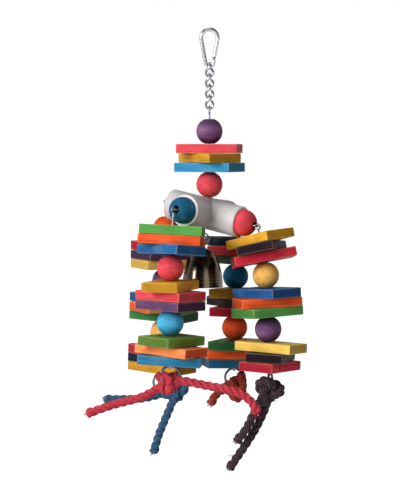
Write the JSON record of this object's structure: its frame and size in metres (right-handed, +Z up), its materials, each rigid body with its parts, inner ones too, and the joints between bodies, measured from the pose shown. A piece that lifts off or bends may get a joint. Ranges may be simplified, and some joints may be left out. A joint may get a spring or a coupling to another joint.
{
  "type": "hanging parrot toy",
  "caption": "Hanging bird toy: a snap hook and twisted chain carry coloured wooden slats and beads, a four-way pipe cross, strands with knotted ropes, and a bell.",
  "frame": {"origin": "inside top of the snap hook's upper bow, where the toy hangs", "axes": "+Z up, +Y away from the side that the picture shows, +X to that side's right"},
  "size_m": [0.2645, 0.2182, 0.5338],
  "materials": {
    "hook_steel": "polished",
    "chain_steel": "polished",
    "wire_steel": "satin",
    "pvc_grey": "satin",
    "bell_nickel": "polished",
    "wood_purple": "satin",
    "wood_red": "satin",
    "wood_mustard": "satin",
    "wood_light_blue": "satin",
    "wood_teal": "satin",
    "wood_blue": "satin",
    "wood_orange": "satin",
    "wood_orange_red": "satin",
    "wood_yellow": "satin",
    "wood_dyed_mixed": "satin",
    "rope_red": "matte",
    "rope_blue": "matte",
    "rope_plum": "matte",
    "rope_rust": "matte"
  },
  "bodies": {
    "hook": {"carabiner_frame": "hook_steel", "gate_rivet": "hook_steel"},
    "gate": {"carabiner_gate": "hook_steel"},
    "link_1": {"top_link_1": "chain_steel"},
    "link_2": {"top_link_2": "chain_steel"},
    "link_3": {"top_link_3": "chain_steel"},
    "link_4": {"top_link_4": "chain_steel"},
    "centre": {"centre_wire": "wire_steel"},
    "centre_bead_top": {"centre_bead_top": "wood_purple"},
    "centre_slat_red": {"centre_slat_red": "wood_red"},
    "centre_slat_mustard": {"centre_slat_mustard": "wood_mustard"},
    "centre_slat_blue": {"centre_slat_blue": "wood_light_blue"},
    "centre_bead_low": {"centre_bead_low": "wood_red"},
    "cross": {"pipe_cross": "pvc_grey", "cross_rod": "wire_steel", "inner_ring": "wire_steel", "inner_chain": "wire_steel"},
    "mouth_bead_1": {"mouth_bead_1": "wood_teal"},
    "mouth_bead_3": {"mouth_bead_3": "wood_red"},
    "mouth_bead_4": {"mouth_bead_4": "wood_blue"},
    "strand_1_upper": {"strand_1_upper_wire": "wire_steel"},
    "strand_1_lower": {"strand_1_lower_wire": "wire_steel"},
    "strand_1_slats_1": {"strand_1_slats_1": "wood_dyed_mixed"},
    "strand_1_bead_1": {"strand_1_bead_1": "wood_red"},
    "strand_1_slats_2": {"strand_1_slats_2": "wood_dyed_mixed"},
    "strand_1_bead_2": {"strand_1_bead_2": "wood_light_blue"},
    "strand_1_slats_3": {"strand_1_slats_3": "wood_dyed_mixed"},
    "strand_1_ring": {"strand_1_ring": "wire_steel", "strand_1_rope": "rope_red"},
    "strand_2_upper": {"strand_2_upper_wire": "wire_steel"},
    "strand_2_lower": {"strand_2_lower_wire": "wire_steel"},
    "strand_2_bead_top": {"strand_2_bead_top": "wood_orange"},
    "strand_2_slats_1": {"strand_2_slats_1": "wood_dyed_mixed"},
    "strand_2_bead_1": {"strand_2_bead_1": "wood_purple"},
    "strand_2_slats_2": {"strand_2_slats_2": "wood_dyed_mixed"},
    "strand_2_bead_2": {"strand_2_bead_2": "wood_yellow"},
    "strand_2_slats_3": {"strand_2_slats_3": "wood_dyed_mixed"},
    "strand_2_ring": {"strand_2_ring": "wire_steel", "strand_2_rope": "rope_blue"},
    "strand_3_upper": {"strand_3_upper_wire": "wire_steel"},
    "strand_3_lower": {"strand_3_lower_wire": "wire_steel"},
    "strand_3_slats_1": {"strand_3_slats_1": "wood_dyed_mixed"},
    "strand_3_bead_1": {"strand_3_bead_1": "wood_yellow"},
    "strand_3_slats_2": {"strand_3_slats_2": "wood_dyed_mixed"},
    "strand_3_bead_2": {"strand_3_bead_2": "wood_purple"},
    "strand_3_slats_3": {"strand_3_slats_3": "wood_dyed_mixed"},
    "strand_3_ring": {"strand_3_ring": "wire_steel", "strand_3_rope": "rope_plum"},
    "strand_4_upper": {"strand_4_upper_wire": "wire_steel"},
    "strand_4_lower": {"strand_4_lower_wire": "wire_steel"},
    "strand_4_slats_1": {"strand_4_slats_1": "wood_dyed_mixed"},
    "strand_4_bead_1": {"strand_4_bead_1": "wood_teal"},
    "strand_4_slats_2": {"strand_4_slats_2": "wood_dyed_mixed"},
    "strand_4_bead_2": {"strand_4_bead_2": "wood_orange_red"},
    "strand_4_slats_3": {"strand_4_slats_3": "wood_dyed_mixed"},
    "strand_4_ring": {"strand_4_ring": "wire_steel", "strand_4_rope": "rope_rust"},
    "bell_hook": {"bell_hook": "wire_steel"},
    "bell": {"bell": "bell_nickel"},
    "bell_clapper": {"bell_clapper": "wire_steel"}
  },
  "joints": [
    {"name": "gate_hinge", "type": "hinge", "parent": "hook", "child": "gate", "pos_m": [0.00581, 0, -0.03162], "axis": [0, -1, 0], "range_deg": [0, 25], "stiffness_Nm_per_rad": 0.02, "springref_deg": -11.46},
    {"name": "link_1_swing", "type": "hinge", "parent": "hook", "child": "link_1", "pos_m": [0, 0, -0.0425], "axis": [1, 0, 0], "range_deg": [-25, 25]},
    {"name": "link_2_swing", "type": "hinge", "parent": "link_1", "child": "link_2", "pos_m": [0, 0, -0.0511], "axis": [0, 1, 0], "range_deg": [-25, 25]},
    {"name": "link_3_swing", "type": "hinge", "parent": "link_2", "child": "link_3", "pos_m": [0, 0, -0.0673], "axis": [1, 0, 0], "range_deg": [-25, 25]},
    {"name": "link_4_swing", "type": "hinge", "parent": "link_3", "child": "link_4", "pos_m": [0, 0, -0.0769], "axis": [0, 1, 0], "range_deg": [-25, 25]},
    {"name": "centre_swing", "type": "hinge", "parent": "link_4", "child": "centre", "pos_m": [0, 0, -0.0931], "axis": [1, 0, 0], "range_deg": [-25, 25]},
    {"name": "centre_bead_top_spin", "type": "hinge", "parent": "centre", "child": "centre_bead_top", "pos_m": [0, 0, -0.1056], "axis": [0, 0, 1], "continuous": true},
    {"name": "centre_slat_red_spin", "type": "hinge", "parent": "centre", "child": "centre_slat_red", "pos_m": [0, 0, -0.1359], "axis": [0, 0, 1], "continuous": true},
    {"name": "centre_slat_mustard_spin", "type": "hinge", "parent": "centre", "child": "centre_slat_mustard", "pos_m": [0, 0, -0.1476], "axis": [0, 0, 1], "continuous": true},
    {"name": "centre_slat_blue_spin", "type": "hinge", "parent": "centre", "child": "centre_slat_blue", "pos_m": [0, 0, -0.1593], "axis": [0, 0, 1], "continuous": true},
    {"name": "centre_bead_low_spin", "type": "hinge", "parent": "centre", "child": "centre_bead_low", "pos_m": [0, 0, -0.1701], "axis": [0, 0, 1], "continuous": true},
    {"name": "cross_rock", "type": "hinge", "parent": "centre", "child": "cross", "pos_m": [0, 0, -0.20139], "axis": [0.1045, 0.9945, 0], "range_deg": [-25, 0]},
    {"name": "mouth_bead_1_spin", "type": "hinge", "parent": "cross", "child": "mouth_bead_1", "pos_m": [-0.00406, 0.00043, -0.21995], "axis": [-0.5197, -0.8491, 0.0941], "continuous": true},
    {"name": "mouth_bead_3_spin", "type": "hinge", "parent": "cross", "child": "mouth_bead_3", "pos_m": [-0.00406, 0.00043, -0.21995], "axis": [0.8272, -0.5277, -0.193], "continuous": true},
    {"name": "mouth_bead_4_spin", "type": "hinge", "parent": "cross", "child": "mouth_bead_4", "pos_m": [-0.00406, 0.00043, -0.21995], "axis": [0.5197, 0.8491, -0.0941], "continuous": true},
    {"name": "strand_1_swing", "type": "hinge", "parent": "cross", "child": "strand_1_upper", "pos_m": [-0.04278, -0.06283, -0.21294], "axis": [-0.8529, 0.5221, 0], "range_deg": [0, 20]},
    {"name": "strand_1_bend", "type": "hinge", "parent": "strand_1_upper", "child": "strand_1_lower", "pos_m": [-0.04629, -0.06857, -0.27196], "axis": [-0.5221, -0.8529, 0], "range_deg": [-4, 4]},
    {"name": "strand_1_slats_1_spin", "type": "hinge", "parent": "strand_1_upper", "child": "strand_1_slats_1", "pos_m": [-0.04278, -0.06283, -0.21294], "axis": [0.0591, 0.0966, 0.9936], "continuous": true},
    {"name": "strand_1_bead_1_spin", "type": "hinge", "parent": "strand_1_lower", "child": "strand_1_bead_1", "pos_m": [-0.04629, -0.06857, -0.27196], "axis": [0.0046, 0.0074, 1], "continuous": true},
    {"name": "strand_1_slats_2_spin", "type": "hinge", "parent": "strand_1_lower", "child": "strand_1_slats_2", "pos_m": [-0.04629, -0.06857, -0.27196], "axis": [0.0046, 0.0074, 1], "continuous": true},
    {"name": "strand_1_bead_2_spin", "type": "hinge", "parent": "strand_1_lower", "child": "strand_1_bead_2", "pos_m": [-0.04629, -0.06857, -0.27196], "axis": [0.0046, 0.0074, 1], "continuous": true},
    {"name": "strand_1_slats_3_spin", "type": "hinge", "parent": "strand_1_lower", "child": "strand_1_slats_3", "pos_m": [-0.04686, -0.0695, -0.39665], "axis": [0.0569, 0.0074, 0.9984], "continuous": true},
    {"name": "strand_1_ring_swing", "type": "hinge", "parent": "strand_1_lower", "child": "strand_1_ring", "pos_m": [-0.04688, -0.06953, -0.40155], "axis": [0, 1, -0.0074], "range_deg": [-8, 8]},
    {"name": "strand_2_swing", "type": "hinge", "parent": "cross", "child": "strand_2_upper", "pos_m": [-0.05372, 0.04304, -0.20811], "axis": [0.6512, 0.7589, 0], "range_deg": [0, 20]},
    {"name": "strand_2_bend", "type": "hinge", "parent": "strand_2_upper", "child": "strand_2_lower", "pos_m": [-0.05488, 0.04403, -0.2954], "axis": [-0.7589, 0.6512, 0], "range_deg": [-4, 4]},
    {"name": "strand_2_bead_top_spin", "type": "hinge", "parent": "strand_2_upper", "child": "strand_2_bead_top", "pos_m": [-0.05372, 0.04304, -0.20811], "axis": [0.0132, -0.0114, 0.9998], "continuous": true},
    {"name": "strand_2_slats_1_spin", "type": "hinge", "parent": "strand_2_upper", "child": "strand_2_slats_1", "pos_m": [-0.05372, 0.04304, -0.20811], "axis": [0.0132, -0.0114, 0.9998], "continuous": true},
    {"name": "strand_2_bead_1_spin", "type": "hinge", "parent": "strand_2_lower", "child": "strand_2_bead_1", "pos_m": [-0.05488, 0.04403, -0.2954], "axis": [0.0358, -0.0307, 0.9989], "continuous": true},
    {"name": "strand_2_slats_2_spin", "type": "hinge", "parent": "strand_2_lower", "child": "strand_2_slats_2", "pos_m": [-0.05488, 0.04403, -0.2954], "axis": [0.0358, -0.0307, 0.9989], "continuous": true},
    {"name": "strand_2_bead_2_spin", "type": "hinge", "parent": "strand_2_lower", "child": "strand_2_bead_2", "pos_m": [-0.05488, 0.04403, -0.2954], "axis": [0.0358, -0.0307, 0.9989], "continuous": true},
    {"name": "strand_2_slats_3_spin", "type": "hinge", "parent": "strand_2_lower", "child": "strand_2_slats_3", "pos_m": [-0.05933, 0.04785, -0.41996], "axis": [0.0358, -0.0307, 0.9989], "continuous": true},
    {"name": "strand_2_ring_swing", "type": "hinge", "parent": "strand_2_lower", "child": "strand_2_ring", "pos_m": [-0.05951, 0.048, -0.42486], "axis": [-0.4219, 0.9056, 0.0429], "range_deg": [-8, 8]},
    {"name": "strand_3_swing", "type": "hinge", "parent": "cross", "child": "strand_3_upper", "pos_m": [0.05757, -0.03889, -0.23433], "axis": [-0.5378, -0.843, 0], "range_deg": [0, 20]},
    {"name": "strand_3_bend", "type": "hinge", "parent": "strand_3_upper", "child": "strand_3_lower", "pos_m": [0.0667, -0.04472, -0.28202], "axis": [0.843, -0.5378, 0], "range_deg": [-4, 4]},
    {"name": "strand_3_slats_1_spin", "type": "hinge", "parent": "strand_3_upper", "child": "strand_3_slats_1", "pos_m": [0.05757, -0.03889, -0.23433], "axis": [-0.1868, 0.1192, 0.9751], "continuous": true},
    {"name": "strand_3_bead_1_spin", "type": "hinge", "parent": "strand_3_lower", "child": "strand_3_bead_1", "pos_m": [0.0667, -0.04472, -0.28202], "axis": [-0.0441, 0.0281, 0.9986], "continuous": true},
    {"name": "strand_3_slats_2_spin", "type": "hinge", "parent": "strand_3_lower", "child": "strand_3_slats_2", "pos_m": [0.0667, -0.04472, -0.28202], "axis": [-0.0441, 0.0281, 0.9986], "continuous": true},
    {"name": "strand_3_bead_2_spin", "type": "hinge", "parent": "strand_3_lower", "child": "strand_3_bead_2", "pos_m": [0.0667, -0.04472, -0.28202], "axis": [-0.0441, 0.0281, 0.9986], "continuous": true},
    {"name": "strand_3_slats_3_spin", "type": "hinge", "parent": "strand_3_lower", "child": "strand_3_slats_3", "pos_m": [0.0722, -0.04823, -0.40654], "axis": [0.0431, 0.0281, 0.9987], "continuous": true},
    {"name": "strand_3_ring_swing", "type": "hinge", "parent": "strand_3_lower", "child": "strand_3_ring", "pos_m": [0.07242, -0.04836, -0.41144], "axis": [-0.9648, 0.2581, -0.0499], "range_deg": [-8, 8]},
    {"name": "strand_4_swing", "type": "hinge", "parent": "cross", "child": "strand_4_upper", "pos_m": [0.03466, 0.06369, -0.22696], "axis": [0.8529, -0.5221, 0], "range_deg": [0, 20]},
    {"name": "strand_4_bend", "type": "hinge", "parent": "strand_4_upper", "child": "strand_4_lower", "pos_m": [0.03349, 0.06177, -0.29123], "axis": [0.5221, 0.8529, 0], "range_deg": [-4, 4]},
    {"name": "strand_4_slats_1_spin", "type": "hinge", "parent": "strand_4_upper", "child": "strand_4_slats_1", "pos_m": [0.03466, 0.06369, -0.22696], "axis": [0.0182, 0.0298, 0.9994], "continuous": true},
    {"name": "strand_4_bead_1_spin", "type": "hinge", "parent": "strand_4_lower", "child": "strand_4_bead_1", "pos_m": [0.03349, 0.06177, -0.29123], "axis": [0.0182, 0.0298, 0.9994], "continuous": true},
    {"name": "strand_4_slats_2_spin", "type": "hinge", "parent": "strand_4_lower", "child": "strand_4_slats_2", "pos_m": [0.03349, 0.06177, -0.29123], "axis": [0.0182, 0.0298, 0.9994], "continuous": true},
    {"name": "strand_4_bead_2_spin", "type": "hinge", "parent": "strand_4_lower", "child": "strand_4_bead_2", "pos_m": [0.03349, 0.06177, -0.29123], "axis": [0.0182, 0.0298, 0.9994], "continuous": true},
    {"name": "strand_4_slats_3_spin", "type": "hinge", "parent": "strand_4_lower", "child": "strand_4_slats_3", "pos_m": [0.03122, 0.05806, -0.41585], "axis": [0.0182, 0.0298, 0.9994], "continuous": true},
    {"name": "strand_4_ring_swing", "type": "hinge", "parent": "strand_4_lower", "child": "strand_4_ring", "pos_m": [0.03113, 0.05791, -0.42075], "axis": [-0.1739, 0.9844, -0.0261], "range_deg": [-8, 8]},
    {"name": "bell_hook_swing", "type": "hinge", "parent": "cross", "child": "bell_hook", "pos_m": [-0.00974, 0.00102, -0.24593], "axis": [-0.1045, -0.9945, 0], "range_deg": [-2, 8]},
    {"name": "bell_swing", "type": "hinge", "parent": "bell_hook", "child": "bell", "pos_m": [-0.00824, 0.00102, -0.25873], "axis": [1, 0, 0], "range_deg": [-2, 6]},
    {"name": "clapper_swing", "type": "hinge", "parent": "bell", "child": "bell_clapper", "pos_m": [-0.00824, 0.00102, -0.26823], "axis": [0, 1, 0], "range_deg": [-15, 15]}
  ]
}
